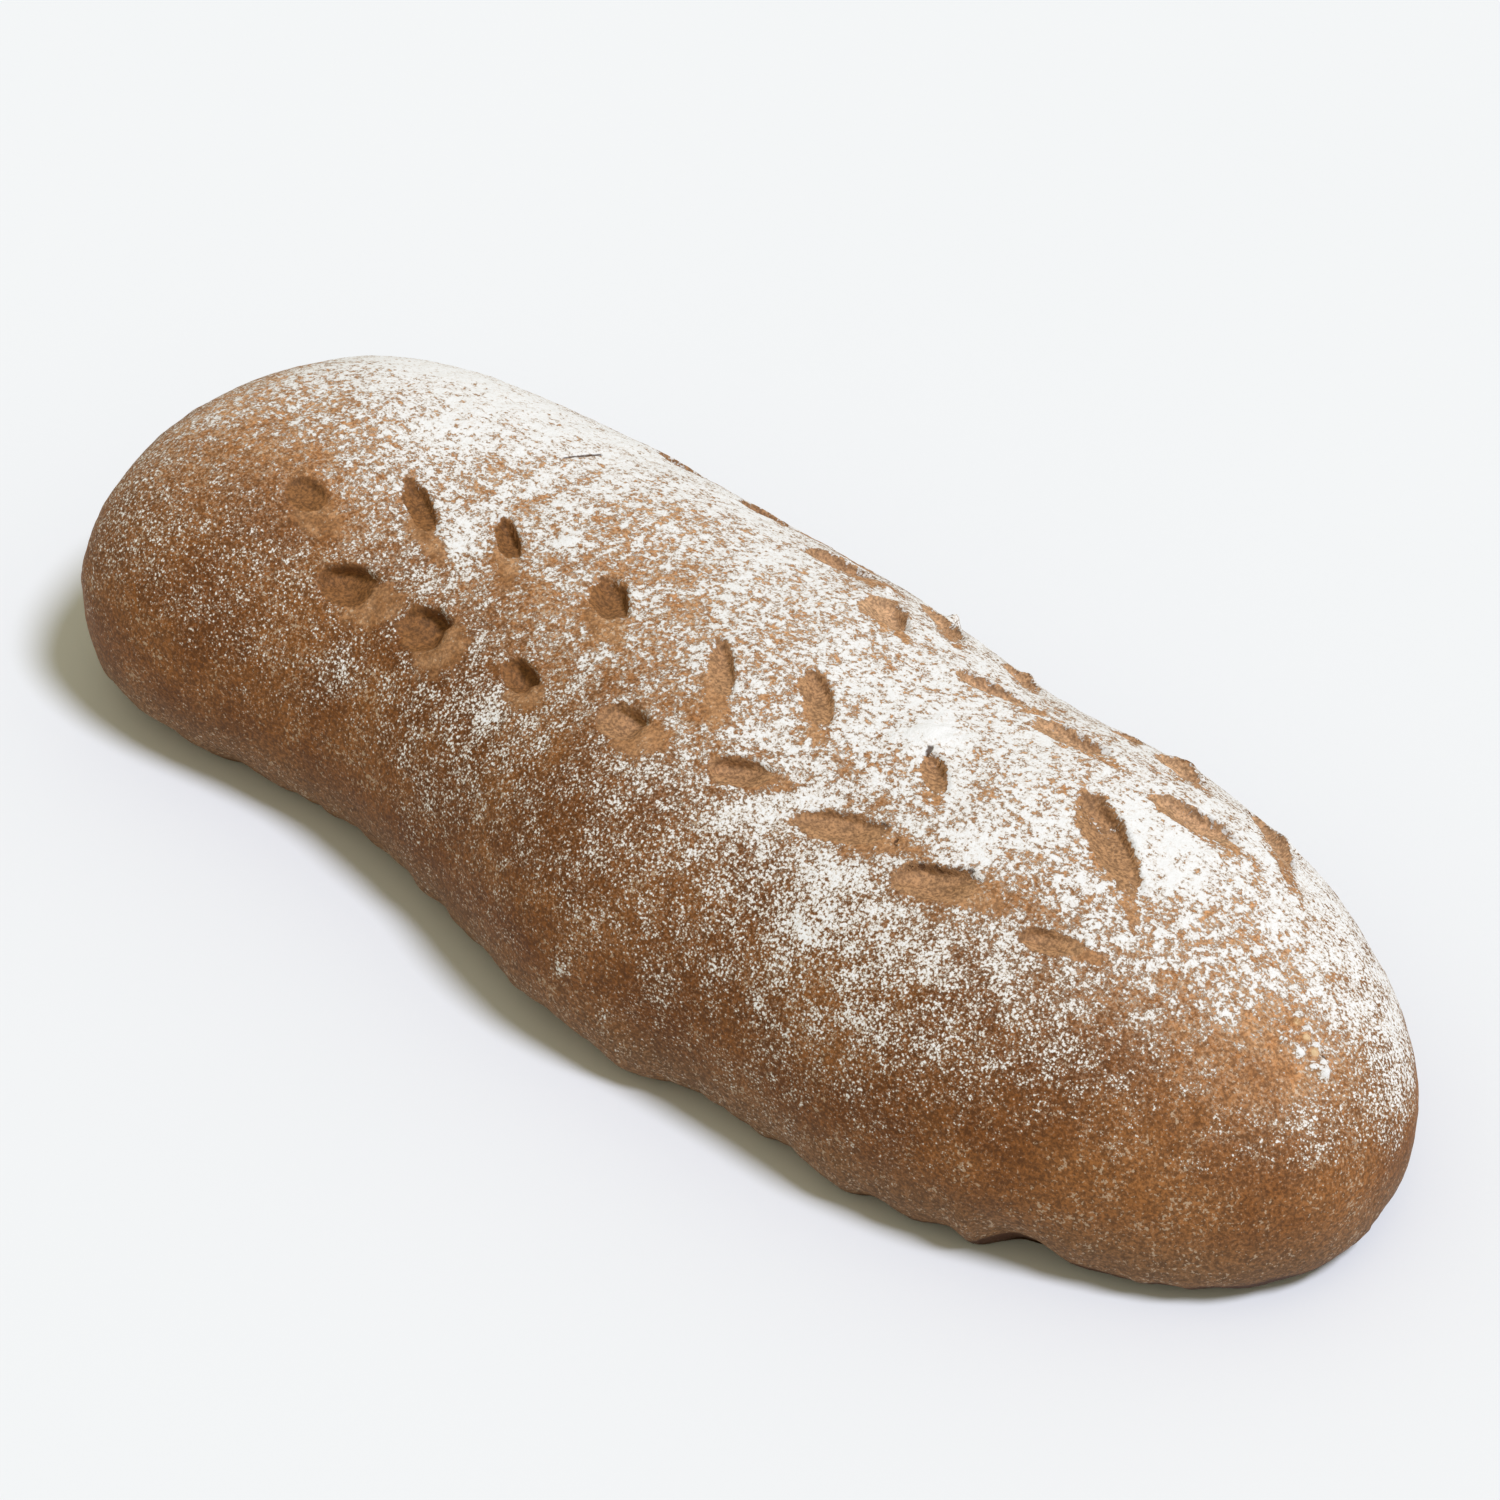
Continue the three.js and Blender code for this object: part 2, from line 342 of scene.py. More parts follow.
def press_marks(points, facing):
    """How the marks move each point, then how far it is inside one, stretched, torn and under a lip."""
    moved = np.zeros_like(points)
    inside = np.full(len(points), -1.0)
    stretched, torn, shelf = (np.zeros(len(points)) for _ in range(3))
    wobble = layered(points, WOBBLE_SIZE, SEED + 40, WOBBLE_LAYERS, WOBBLE_FADE)
    for row, marks in enumerate(MARK_ROWS):
        for index, (along, across, length, width, turn, depth, taper, deepest) in enumerate(marks):
            centre, normal = mark_place(along, across)
            forward, left = mark_axes(normal, turn)
            near = np.flatnonzero(np.sum((points - centre) ** 2, 1) < (length * SURROUNDINGS * MM) ** 2)
            near = near[np.sum(facing[near] * normal, 1) > SAME_SIDE]
            offset = (points[near] - centre) / MM
            ahead = offset @ forward / (length / 2)
            aside = offset @ left / (width / 2) / np.clip(1 - taper * ahead, *NARROWING)
            outline = (np.abs(ahead) ** BLUNTNESS + np.abs(aside) ** BLUNTNESS) ** (1 / BLUNTNESS)
            outline = np.maximum(outline * (1 + OUTLINE_WOBBLE * wobble[near]), LEAST_OUTLINE)

            # steep is 1 along the upper edge and the start, 0 along the side that runs out flush
            steep = smooth(*STEEP, (STEEP_ASIDE * aside + STEEP_AHEAD * ahead) / outline)
            gentle = 0.5 * (1 + np.cos(math.pi * np.minimum(outline, 1)))
            wall = 1 - smooth(*WALL, outline)
            lead = hill(ahead, deepest, DEEP_REACH)
            sink = depth * (gentle * (1 - steep) + wall * steep) * (LEAST_DEPTH + DEPTH_RANGE * lead)
            lift = RIM_HEIGHT * depth * steep * band(RIM_RISE, RIM_FALL, outline) * lead
            pull = LIP_PULL * depth * steep * lead * hill(outline, LIP_PLACE, LIP_REACH)
            moved[near] += ((lift - sink)[:, None] * facing[near] - pull[:, None] * left) * MM

            dragged = 1 - CRISPNESS * smooth(*CRISP_FROM, along)
            run_out = dragged * (TAIL_RUN_OUT * smooth(*TAIL, ahead) + SIDE_RUN_OUT * (1 - steep))
            inside[near] = np.maximum(inside[near], 1 - outline - run_out * smooth(*RUN_OUT, outline))
            halo = hill(ahead, SKIN_AHEAD, SKIN_AHEAD_REACH) * hill(aside, SKIN_ASIDE, SKIN_ASIDE_REACH)
            stretched[near] = np.maximum(stretched[near], (LEAST_SKIN + SKIN_RANGE * dragged) * halo)
            shelf[near] = np.maximum(shelf[near], steep * band(SHELF_RISE, SHELF_FALL, outline) * lead)
            for torn_row, torn_index, start in TORN_LIPS:
                if (row, index) == (torn_row, torn_index):
                    tear = steep * band(TORN_RISE, TORN_FALL, outline)
                    tear *= smooth(start, start + TEAR_START, ahead)
                    torn[near] = np.maximum(torn[near], tear)
    return moved, inside, stretched, torn, shelf


moved, inside, stretched, torn, shelf = press_marks(plain_points, outward)

# ---------------------------------------------------------------- lumps, the hem and small scars

# Small raised spots in mm: place along and across, radius, height and kind. CRUMB is pale torn crumb.
BARE, FLOURED, CRUMB = range(3)
SPOTS = [
    (50.5, 6.2, 5.0, 1.6, FLOURED),
    (13.4, 61, 1.6, 2.6, BARE),
    (93, 50.5, 4.0, 1.6, BARE),
    (2.5, 49, 2.2, 1.2, BARE),
    (122, 50, 3.0, 1.0, BARE),
    (43, 54, 2.5, 0.9, BARE),
    (-62, 6, 3.0, 0.6, FLOURED),
    (161.4, 2.6, 1.2, 1.3, FLOURED),
    (162.6, 0.6, 1.0, 1.7, CRUMB),
    (164.8, 1.4, 1.1, 1.8, FLOURED),
    (166.0, -0.8, 1.1, 2.0, CRUMB),
    (168.2, 0.2, 0.9, 1.5, FLOURED),
    (169.2, -1.9, 1.1, 2.2, CRUMB),
    (171.6, -1.6, 1.0, 1.5, FLOURED),
    (173.2, -3.4, 1.6, 2.6, FLOURED),
    (170.9, -4.6, 1.1, 1.6, FLOURED),
    (167.2, -4.4, 1.0, 1.1, FLOURED),
    (163.5, -5.6, 1.3, 1.4, FLOURED),
    (164.5, -36, 5, 0.8, BARE),
]
SPOT_RAGGEDNESS = 0.45
SPOT_RAGGED_SIZE = 2.6 * MM
# Short cracks in the top, in mm: from, to, and how wide.
CRACKS = [
    (-87, 31, -83.5, 41, 0.6),
    (54.0, 2.6, 54.8, 1.2, 1.0),
    (66, -24.2, 66.8, -26, 0.55),
    (170.0, 0.6, 171.4, -0.2, 0.35),
]
CRACKS_ABOVE = 30 * MM
CRACK_DEPTH = 0.5 * MM
# Bulges of the foot on the near side, and one dent, in mm: place along, reach and how far out.
HEM_BULGES = [
    (20, 5, 1.6),
    (86, 9, 2.0),
    (105, 5, 1.0),
    (119, 4, 2.4),
    (132, 8, -3.6),
    (146, 5, 1.0),
    (168, 12, 1.6),
]
# Uneven dough: heights in mm, and sizes of the features.
BIG_LUMP, BIG_LUMP_SIZE = 0.9, 55 * MM
SMALL_LUMP, SMALL_LUMP_SIZE = 0.45, 22 * MM
WRINKLE, WRINKLE_SIZE = 0.2, 7 * MM
PORE, PORE_SIZE = 0.09, 2.4 * MM
HEM_WAVE, HEM_WAVE_SIZE = 1.5, 16 * MM
HEM_RIPPLE, HEM_RIPPLE_SIZE = 0.8, 6 * MM
HEM_HEIGHT = (4 * MM, 24 * MM)
# The hem changes slowly across the loaf and up it.
HEM_STRETCH = np.array([1, 0.35, 0.25])


def raise_spots(points):
    """The spots' height in metres, then how floury and how crumbly they make each point."""
    height, floury, crumbly = (np.zeros(len(points)) for _ in range(3))
    ragged = 1 + SPOT_RAGGEDNESS * layered(points, SPOT_RAGGED_SIZE, SEED + 50, 2)
    for along, across, radius, rise, kind in SPOTS:
        centre = mark_place(along, across)[0]
        spot = hill(np.linalg.norm(points - centre, axis=1) * ragged, 0, radius * MM)
        height += rise * spot * MM
        if kind == FLOURED:
            floury = np.maximum(floury, spot)
        if kind == CRUMB:
            crumbly = np.maximum(crumbly, spot)
    return height, floury, crumbly


def crack_lines(points):
    """1 along each crack, falling to 0 beside it."""
    line = np.zeros(len(points))
    for from_along, from_across, to_along, to_across, width in CRACKS:
        start = np.array([from_along, from_across])
        run = np.array([to_along - from_along, to_across - from_across])
        offset = points[:, :2] / MM - start
        share = np.clip(offset @ run / (run @ run), 0, 1)
        away = np.linalg.norm(offset - share[:, None] * run, axis=1)
        line = np.maximum(line, np.where(points[:, 2] > CRACKS_ABOVE, hill(away, 0, width), 0))
    return line


def dough_relief(points):
    """Height of the uneven dough along the normal, in metres."""
    lumps = BIG_LUMP * lattice_noise(points, BIG_LUMP_SIZE, SEED)
    lumps += SMALL_LUMP * lattice_noise(points, SMALL_LUMP_SIZE, SEED + 1)
    skin = WRINKLE * layered(points, WRINKLE_SIZE, SEED + 2, 2)
    skin += PORE * layered(points, PORE_SIZE, SEED + 4, 2)
    hem = HEM_WAVE * lattice_noise(points * HEM_STRETCH, HEM_WAVE_SIZE, SEED + 8)
    hem += HEM_RIPPLE * lattice_noise(points * HEM_STRETCH, HEM_RIPPLE_SIZE, SEED + 9)
    for place, reach, bulge in HEM_BULGES:
        hem += bulge * hill(points[:, 0] / MM, place, reach) * (points[:, 1] < 0)
    low_down = 1 - smooth(*HEM_HEIGHT, points[:, 2])
    return (lumps + skin + low_down * hem) * MM


spot_height, spot_flour, crumbly = raise_spots(plain_points)
cracked = crack_lines(plain_points)
relief = dough_relief(plain_points) + spot_height - CRACK_DEPTH * cracked
relief[on_base] = 0
shaped_points = plain_points + moved + relief[:, None] * outward
shaped_points[:, 2] = np.where(on_base, plain_points[:, 2], shaped_points[:, 2])
shaped_points[:, 2] = np.maximum(shaped_points[:, 2], 0)

# ---------------------------------------------------------------- where the flour lies

# Density is the logarithm of floured to bare crust. At even stations along the loaf, EDGE is the girth angle
# in degrees where it is 0, FADE how many degrees it takes to drop by 1, and CAP its most on top.
# FAR_EDGE and FAR_FADE do the same for the far side, all along.
FLOUR_EDGE = np.array([100, 88, 104, 101, 103, 117, 118, 98, 66])
FLOUR_FADE = np.array([14, 11, 20, 29, 27, 28, 26, 20, 26])
FLOUR_CAP = np.array([3.0, 3.4, 3.0, 1.9, 1.3, 1.3, 1.4, 1.4, 1.1])
FAR_EDGE = 16
FAR_FADE = 10
DENSITY_LIMIT = 4
# The least density before patches and clumps, and what it loses down the near side and towards the +X end.
THINNEST = -1.55
NEAR_SIDE, NEAR_SIDE_LOSS = (146, 180), 1.7
LAST_THIRD, LAST_THIRD_LOSS = (0.35, 0.8), 1.4
# The share of the cap that the far side loses towards the -X end.
FAR_SIDE, FIRST_THIRD, FAR_SIDE_LOSS = (60, 36), (-0.3, -0.6), 0.55
# Round the -X end the flour thins out evenly as the crust leans over, and near the table at both ends.
FIRST_END = (-0.76, -0.96)
FIRST_END_DENSITY, FIRST_END_LEAN, FIRST_END_LEAN_LOSS = -0.45, (30, 75), 1.4
FIRST_END_FOOT, FIRST_END_FOOT_LOSS = (36 * MM, 12 * MM), 2.2
LAST_END, LAST_END_FOOT, LAST_END_FOOT_LOSS = (0.8, 0.95), (40 * MM, 20 * MM), 5
# Clumps of flour, which fade towards the -X end.
BIG_CLUMP, BIG_CLUMP_SIZE = 1.0, 11 * MM
SMALL_CLUMP, SMALL_CLUMP_SIZE = 1.3, 4.5 * MM
EVEN_END, EVENNESS = (-0.42, -0.7), 0.45
# Thicker and thinner patches: place along in mm, girth angle in degrees, reach of both, added density.
FLOUR_PATCHES = [
    (62, 128, 22, 10, 1.3),
    (80, 150, 26, 12, 0.4),
    (-80, 114, 16, 14, 0.6),
    (-122, 114, 14, 8, -1.2),
    (-58, 108, 10, 10, -0.8),
    (-18, 118, 12, 10, -0.4),
    (26, 120, 18, 8, 0.7),
    (116, 78, 14, 8, 1.0),
    (100, 122, 14, 8, 0.4),
    (142, 164, 30, 12, -1.2),
    (130, 137, 15, 9, 0.8),
    (164, 99, 14, 16, -1.3),
    (-20, 76, 50, 15, -0.45),
    (134, 80, 14, 14, -0.6),
    (-50, 157, 18, 9, 0.8),
    (-68, 141, 12, 8, 0.6),
    (0, 131, 14, 12, 0.4),
    (-130, 125, 16, 12, 0.5),
    (-38, 137, 16, 9, 0.6),
    (-112, 80, 11, 9, 0.8),
    (2, 57, 10, 9, -0.7),
    (-55, 86, 9, 12, -0.4),
    (6, 173, 2.5, 3, 2.0),
    (-44, 134, 3, 12, 1.0),
    (98, 106, 8, 4, -2.5),
    (-62, 104, 13, 6, -1.0),
    (178, 113, 6, 9, 1.8),
    (163, 147, 3, 4, 2.4),
]
SPOT_DENSITY = 4


def flour_density(points, share, girth, lean):
    """Logarithm of floured to bare crust at each point."""
    thinnest = THINNEST - NEAR_SIDE_LOSS * smooth(*NEAR_SIDE, girth)
    thinnest -= LAST_THIRD_LOSS * smooth(*LAST_THIRD, share)
    densest = 1 - FAR_SIDE_LOSS * smooth(*FAR_SIDE, girth) * smooth(*FIRST_THIRD, share)
    densest *= through(FLOUR_CAP, share)
    near_side = (through(FLOUR_EDGE, share) - girth) / through(FLOUR_FADE, share)
    density = np.minimum(np.clip(near_side, thinnest, densest), (girth - FAR_EDGE) / FAR_FADE)
    place = share * LENGTH / 2 / MM
    for along, angle, reach_along, reach_angle, amount in FLOUR_PATCHES:
        density += amount * hill(place, along, reach_along) * hill(girth, angle, reach_angle)
    first_end = smooth(*FIRST_END, share)
    tip_density = FIRST_END_DENSITY - FIRST_END_LEAN_LOSS * smooth(*FIRST_END_LEAN, lean)
    density += first_end * (tip_density - density)
    density -= LAST_END_FOOT_LOSS * smooth(*LAST_END, share) * smooth(*LAST_END_FOOT, points[:, 2])
    density -= FIRST_END_FOOT_LOSS * first_end * smooth(*FIRST_END_FOOT, points[:, 2])
    clumps = BIG_CLUMP * lattice_noise(points, BIG_CLUMP_SIZE, SEED + 20)
    clumps += SMALL_CLUMP * lattice_noise(points, SMALL_CLUMP_SIZE, SEED + 21)
    density += clumps * (1 - EVENNESS * smooth(*EVEN_END, share))
    return np.clip(density, -DENSITY_LIMIT, DENSITY_LIMIT)


# ---------------------------------------------------------------- how the crust is baked

# Girth angles and leans, in degrees, between which the crust turns darker.
BAKED_NEAR, BAKED_FAR, BAKED_LEAN = (66, 138), (60, 20), (12, 55)
# Places along in mm between which the ends turn a little paler again, and by how much.
PALER_LAST_END, PALER_LAST_AMOUNT = (110, 170), 0.12
PALER_FIRST_END, PALER_FIRST_AMOUNT = (-150, -175), 0.15
# Heights between which the crust takes on the greyer tone of the foot.
FOOT_HEIGHT = (30 * MM, 9 * MM)
# Girth angles and leans between which flour sticks as single specks rather than flakes.
SIFTED_NEAR, SIFTED_FAR, SIFTED_LEAN = (96, 142), (40, 10), (20, 50)
# Places along in mm, and across, between which the marks' floors turn paler.
PALE_ALONG, PALE_ACROSS = (-60, 10), (12 * MM, 40 * MM)
# Painted shade along the foot: a dark line, taller and darker where the +X end lifts off the table.
HEEL_HEIGHT, HEEL_RISE, HEEL_RISE_ALONG = 4.4, 1.4, (90, 140)
HEEL_WAVE, HEEL_WAVE_SIZE = 1.2 * MM, 9 * MM
HEEL_ABOVE, HEEL_BELOW = 1.2 * MM, 0.6 * MM
LEAST_HEEL, HEEL_RANGE, HEEL_ALONG = 0.25, 0.75, (60, 115)


def baking(girth, lean, along):
    """0 on the light brown top to 1 on the dark sides."""
    sides = np.maximum(smooth(*BAKED_NEAR, girth) + smooth(*BAKED_FAR, girth), smooth(*BAKED_LEAN, lean))
    last, first = smooth(*PALER_LAST_END, along), smooth(*PALER_FIRST_END, along)
    return np.clip(sides - PALER_LAST_AMOUNT * last - PALER_FIRST_AMOUNT * first, 0, 1)


def sifting(girth, lean):
    """0 where the flour lies in flakes to 1 where it lies in specks."""
    sides = smooth(*SIFTED_NEAR, girth) + smooth(*SIFTED_FAR, girth)
    return np.clip(np.maximum(sides, smooth(*SIFTED_LEAN, lean)), 0, 1)


def heel_shade_line(points, along):
    """How dark the painted shade line along the foot is."""
    top = (HEEL_HEIGHT + HEEL_RISE * smooth(*HEEL_RISE_ALONG, along)) * MM
    top += HEEL_WAVE * lattice_noise(points, HEEL_WAVE_SIZE, SEED + 30)
    line = smooth(top + HEEL_ABOVE, top - HEEL_BELOW, points[:, 2])
    return line * (LEAST_HEEL + HEEL_RANGE * smooth(*HEEL_ALONG, along))


def crust_fields():
    """The amounts that the material reads, each with one number for each point."""
    share = np.repeat(shares, RING)
    along = share * LENGTH / 2 / MM
    girth = np.degrees(ring_angles.ravel())
    lean = np.degrees(np.arccos(np.clip(outward[:, 2], -1, 1)))
    density = flour_density(plain_points, share, girth, lean)
    return {
        "flour": density + SPOT_DENSITY * spot_flour - SPOT_DENSITY * crumbly,
        "inside": inside,
        "stretched": stretched,
        "torn": torn,
        "cracked": cracked,
        "shelf": shelf,
        "crumbly": crumbly,
        "heel_shade": heel_shade_line(plain_points, along),
        "baked": baking(girth, lean, along),
        "foot": smooth(*FOOT_HEIGHT, plain_points[:, 2]),
        "sifted": sifting(girth, lean),
        "pale": smooth(*PALE_ALONG, along) + smooth(*PALE_ACROSS, plain_points[:, 1]),
    }


FIELDS = crust_fields()

# ---------------------------------------------------------------- the mesh


def add_map(mesh):
    """A map with the loaf's length on one side and its girth on the other; the base gets a thin strip."""
    over = np.linspace(0, 1 - BASE_SHARE_OF_MAP, AROUND)
    under = np.linspace(1 - BASE_SHARE_OF_MAP, 1, BASE_STRIPS + 1)[1:]
    column = np.concatenate([over, under])
    row = np.arange(1, ROWS + 1) / (ROWS + 1)
    i, k = np.meshgrid(np.arange(ROWS - 1), np.arange(RING), indexing="ij")
    across = np.stack([column[k], column[k], column[k + 1], column[k + 1]], -1)
    along = np.stack([row[i], row[i + 1], row[i + 1], row[i]], -1)
    k = np.arange(RING)
    middle = (column[k] + column[k + 1]) / 2
    start = np.stack([np.zeros(RING), np.full(RING, row[0]), np.full(RING, row[0])], -1)
    start_across = np.stack([middle, column[k], column[k + 1]], -1)
    end = np.stack([np.ones(RING), np.full(RING, row[-1]), np.full(RING, row[-1])], -1)
    end_across = np.stack([middle, column[k + 1], column[k]], -1)
    u = np.concatenate([along.ravel(), start.ravel(), end.ravel()])
    v = np.concatenate([across.ravel(), start_across.ravel(), end_across.ravel()])
    layer = mesh.uv_layers.new(name="OFBake")
    layer.data.foreach_set("uv", np.stack([u, v], -1).astype(np.float32).ravel())


def loaf_faces():
    """Corner numbers of the four-sided faces, then of the fans that close both tips, all facing outward."""
    row, k = np.meshgrid(np.arange(ROWS - 1), np.arange(RING), indexing="ij")
    here = (row * RING + k).ravel()
    beside = (row * RING + (k + 1) % RING).ravel()
    quads = np.stack([here, here + RING, beside + RING, beside], -1)
    k = np.arange(RING)
    next_k = (k + 1) % RING
    first_tip, last_tip = ROWS * RING, ROWS * RING + 1
    last_row = (ROWS - 1) * RING
    start = np.stack([np.full(RING, first_tip), k, next_k], -1)
    end = np.stack([np.full(RING, last_tip), last_row + next_k, last_row + k], -1)
    return quads, np.concatenate([start, end])


def build_loaf():
    verts = np.concatenate([shaped_points, TIPS]) + np.array(CENTRING)
    quads, fans = loaf_faces()
    loops = np.concatenate([quads.ravel(), fans.ravel()])
    sizes = np.concatenate([np.full(len(quads), 4), np.full(len(fans), 3)])
    mesh = bpy.data.meshes.new("crust")
    mesh.vertices.add(len(verts))
    mesh.vertices.foreach_set("co", verts.astype(np.float32).ravel())
    mesh.loops.add(len(loops))
    mesh.loops.foreach_set("vertex_index", loops.astype(np.int32))
    mesh.polygons.add(len(sizes))
    mesh.polygons.foreach_set("loop_start", np.concatenate([[0], np.cumsum(sizes)[:-1]]).astype(np.int32))
    mesh.polygons.foreach_set("loop_total", sizes.astype(np.int32))
    mesh.update(calc_edges=True)
    mesh.validate()
    mesh.polygons.foreach_set("use_smooth", np.ones(len(mesh.polygons), bool))
    for name, values in FIELDS.items():
        attribute = mesh.attributes.new(name, "FLOAT", "POINT")
        tip_values = [values[:RING].mean(), values[-RING:].mean()]
        attribute.data.foreach_set("value", np.concatenate([values, tip_values]).astype(np.float32))
    add_map(mesh)
    obj = bpy.data.objects.new("crust", mesh)
    bpy.context.scene.collection.objects.link(obj)
    return obj


# ---------------------------------------------------------------- node trees

# Sockets of Blender's Mix node that carry colours.
COLOUR_A, COLOUR_B, COLOUR_RESULT = 6, 7, 2
# The middle of a noise pattern of 0 to 1.
PATTERN_MIDDLE = 0.5
# Round grains: their radius in cells, how fast they fade outward, how much they differ, and their level.
GRAIN_RADIUS = 0.53
GRAIN_SLOPE = 0.5
GRAIN_VARIETY = 0.26
GRAIN_LEVEL = 0.37


class Nodes:
    """Small helpers that lay out a node tree."""

    def __init__(self, owner):
        owner.use_nodes = True
        self.tree = owner.node_tree
        self.tree.nodes.clear()
        self.where = None

    def add(self, kind, **settings):
        node = self.tree.nodes.new(kind)
        for key, value in settings.items():
            setattr(node, key, value)
        return node

    def link(self, value, socket):
        if isinstance(value, bpy.types.NodeSocket):
            self.tree.links.new(value, socket)
        else:
            socket.default_value = value

    def math(self, operation, a, b):
        node = self.add("ShaderNodeMath", operation=operation)
        self.link(a, node.inputs[0])
        self.link(b, node.inputs[1])
        return node.outputs[0]

    def plus(self, a, b):
        return self.math("ADD", a, b)

    def minus(self, a, b):
        return self.math("SUBTRACT", a, b)

    def times(self, a, b):
        return self.math("MULTIPLY", a, b)

    def larger(self, a, b):
        return self.math("MAXIMUM", a, b)

    def swing(self, pattern, gain):
        """A pattern of 0 to 1 as a swing to both sides of 0."""
        return self.times(self.minus(pattern, PATTERN_MIDDLE), gain)

    def ramp(self, value, low_edge, high_edge, to_low=0.0, to_high=1.0):
        node = self.add("ShaderNodeMapRange", interpolation_type="SMOOTHSTEP")
        self.link(value, node.inputs["Value"])
        self.link(low_edge, node.inputs["From Min"])
        self.link(high_edge, node.inputs["From Max"])
        self.link(to_low, node.inputs["To Min"])
        self.link(to_high, node.inputs["To Max"])
        return node.outputs["Result"]

    def mix(self, factor, a, b):
        """A mix of two colours, each a socket or three numbers."""
        node = self.add("ShaderNodeMix", data_type="RGBA")
        self.link(factor, node.inputs["Factor"])
        self.link((*a, 1) if isinstance(a, tuple) else a, node.inputs[COLOUR_A])
        self.link((*b, 1) if isinstance(b, tuple) else b, node.inputs[COLOUR_B])
        return node.outputs[COLOUR_RESULT]

    def mix_numbers(self, factor, a, b):
        node = self.add("ShaderNodeMix", data_type="FLOAT")
        self.link(factor, node.inputs["Factor"])
        self.link(a, node.inputs["A"])
        self.link(b, node.inputs["B"])
        return node.outputs["Result"]

    def tint(self, colour, gain):
        """The colour times a number."""
        node = self.add("ShaderNodeVectorMath", operation="SCALE")
        self.link(colour, node.inputs[0])
        self.link(gain, node.inputs["Scale"])
        return node.outputs[0]

    def place(self):
        """The place on the object, from one node for the whole tree."""
        if self.where is None:
            self.where = self.add("ShaderNodeTexCoord").outputs["Object"]
        return self.where

    def noise(self, size_mm, detail, roughness=0.55, distortion=0.0):
        node = self.add("ShaderNodeTexNoise")
        self.link(self.place(), node.inputs["Vector"])
        node.inputs["Scale"].default_value = 1 / MM / size_mm
        node.inputs["Detail"].default_value = detail
        node.inputs["Roughness"].default_value = roughness
        node.inputs["Distortion"].default_value = distortion
        return node.outputs["Fac"]

    def grains(self, size_mm):
        """Round grains of mixed brightness, about 0.5 on average: high inside a grain, low between them."""
        node = self.add("ShaderNodeTexVoronoi")
        self.link(self.place(), node.inputs["Vector"])
        node.inputs["Scale"].default_value = 1 / MM / size_mm
        chance = self.add("ShaderNodeSeparateColor")
        self.link(node.outputs["Color"], chance.inputs["Color"])
        near = self.times(self.minus(GRAIN_RADIUS, node.outputs["Distance"]), GRAIN_SLOPE)
        return self.plus(self.times(chance.outputs[0], GRAIN_VARIETY), self.plus(near, GRAIN_LEVEL))

    def surface(self, colour, roughness, specular, normal=None):
        """A Principled surface, and the output that it goes to."""
        shader = self.add("ShaderNodeBsdfPrincipled")
        self.link(colour, shader.inputs["Base Color"])
        self.link(roughness, shader.inputs["Roughness"])
        shader.inputs["Specular IOR Level"].default_value = specular
        if normal is not None:
            self.link(normal, shader.inputs["Normal"])
        output = self.add("ShaderNodeOutputMaterial")
        self.link(shader.outputs["BSDF"], output.inputs["Surface"])


# ---------------------------------------------------------------- the crust material

# Colours, as linear red, green and blue; a pair goes from dark to light.
SIDE_BROWNS = ((0.152, 0.051, 0.009), (0.212, 0.079, 0.018))
TOP_BROWNS = ((0.44, 0.200, 0.075), (0.56, 0.300, 0.140))
FOOT_BROWN = (0.185, 0.098, 0.045)
PRESSED_BROWNS = ((0.215, 0.094, 0.030), (0.37, 0.200, 0.095))
FAR_PRESSED_BROWN = (0.50, 0.30, 0.165)
SKIN_BROWNS = ((0.27, 0.125, 0.045), (0.42, 0.215, 0.095))
SKIN_LIGHT = (0.46, 0.25, 0.12)
THIN_FLOUR_TOP = (0.70, 0.62, 0.54)
THIN_FLOUR_SIDE = (0.60, 0.48, 0.36)
THICK_FLOURS = ((0.83, 0.818, 0.80), (0.88, 0.876, 0.872))
FLOUR_VEIL = (0.72, 0.55, 0.40)
MEAL_TOP = (0.80, 0.68, 0.55)
MEAL_SIDE = (0.56, 0.41, 0.27)
MEAL_FOOT = (0.50, 0.37, 0.26)
# Painted shade for the slits of tears and cracks too fine for the mesh.
TEAR_SHADE = (0.07, 0.030, 0.012)
LIP_SHADE = (0.10, 0.042, 0.016)
# Painted shade for the line along the foot.
HEEL_SHADE = (0.045, 0.014, 0.006)
CRUMB_TONES = ((0.46, 0.24, 0.10), (0.80, 0.58, 0.34))

# Patterns: size of the features in mm, layers of detail, then roughness and distortion.
BROAD = (24, 2)
MIDDLE = (5, 3, 0.6)
FINE = (1.7, 3, 0.65)
GRIT = (0.85, 2, 0.6)
RAGGED = (2.6, 4, 0.7)
FLAKES = (1.9, 5, 0.74, 0.3)
SPECKS = (0.85, 3, 0.65)
SPECK_GRAIN = 0.62
MEAL = (0.95, 2, 0.6)
TEAR = (1.7, 2, 0.6)

# Ramps: from and to in the pattern or amount, then the values there where they aren't 0 and 1.
GRIT_TINT = (0.32, 0.68, 0.72, 1.3)
FINE_TINT = (0.34, 0.66, 0.84, 1.16)
SIDE_MOTTLE = (0.38, 0.62)
TOP_MOTTLE = (0.35, 0.65)
SKIN_MOTTLE = (0.3, 0.7)
CRUMB_MOTTLE = (0.35, 0.65)
NEAR_TO_MIDDLE, MIDDLE_TO_FAR = (0, 1), (1, 2)
MARK_EDGE = (-0.05, 0.10)
SKIN_EDGE = (0.25, 0.75)
FLOUR_SHOWS = (-0.015, 0.03)
FLOUR_THICK = (0.0, 0.16)
VEIL_SHOWS = (-0.14, 0.03, 0.0, 0.45)
VEIL_BY_SIFTING = (0, 1, 0.85, 0.4)
MEAL_SHOWS = (0.61, 0.71)
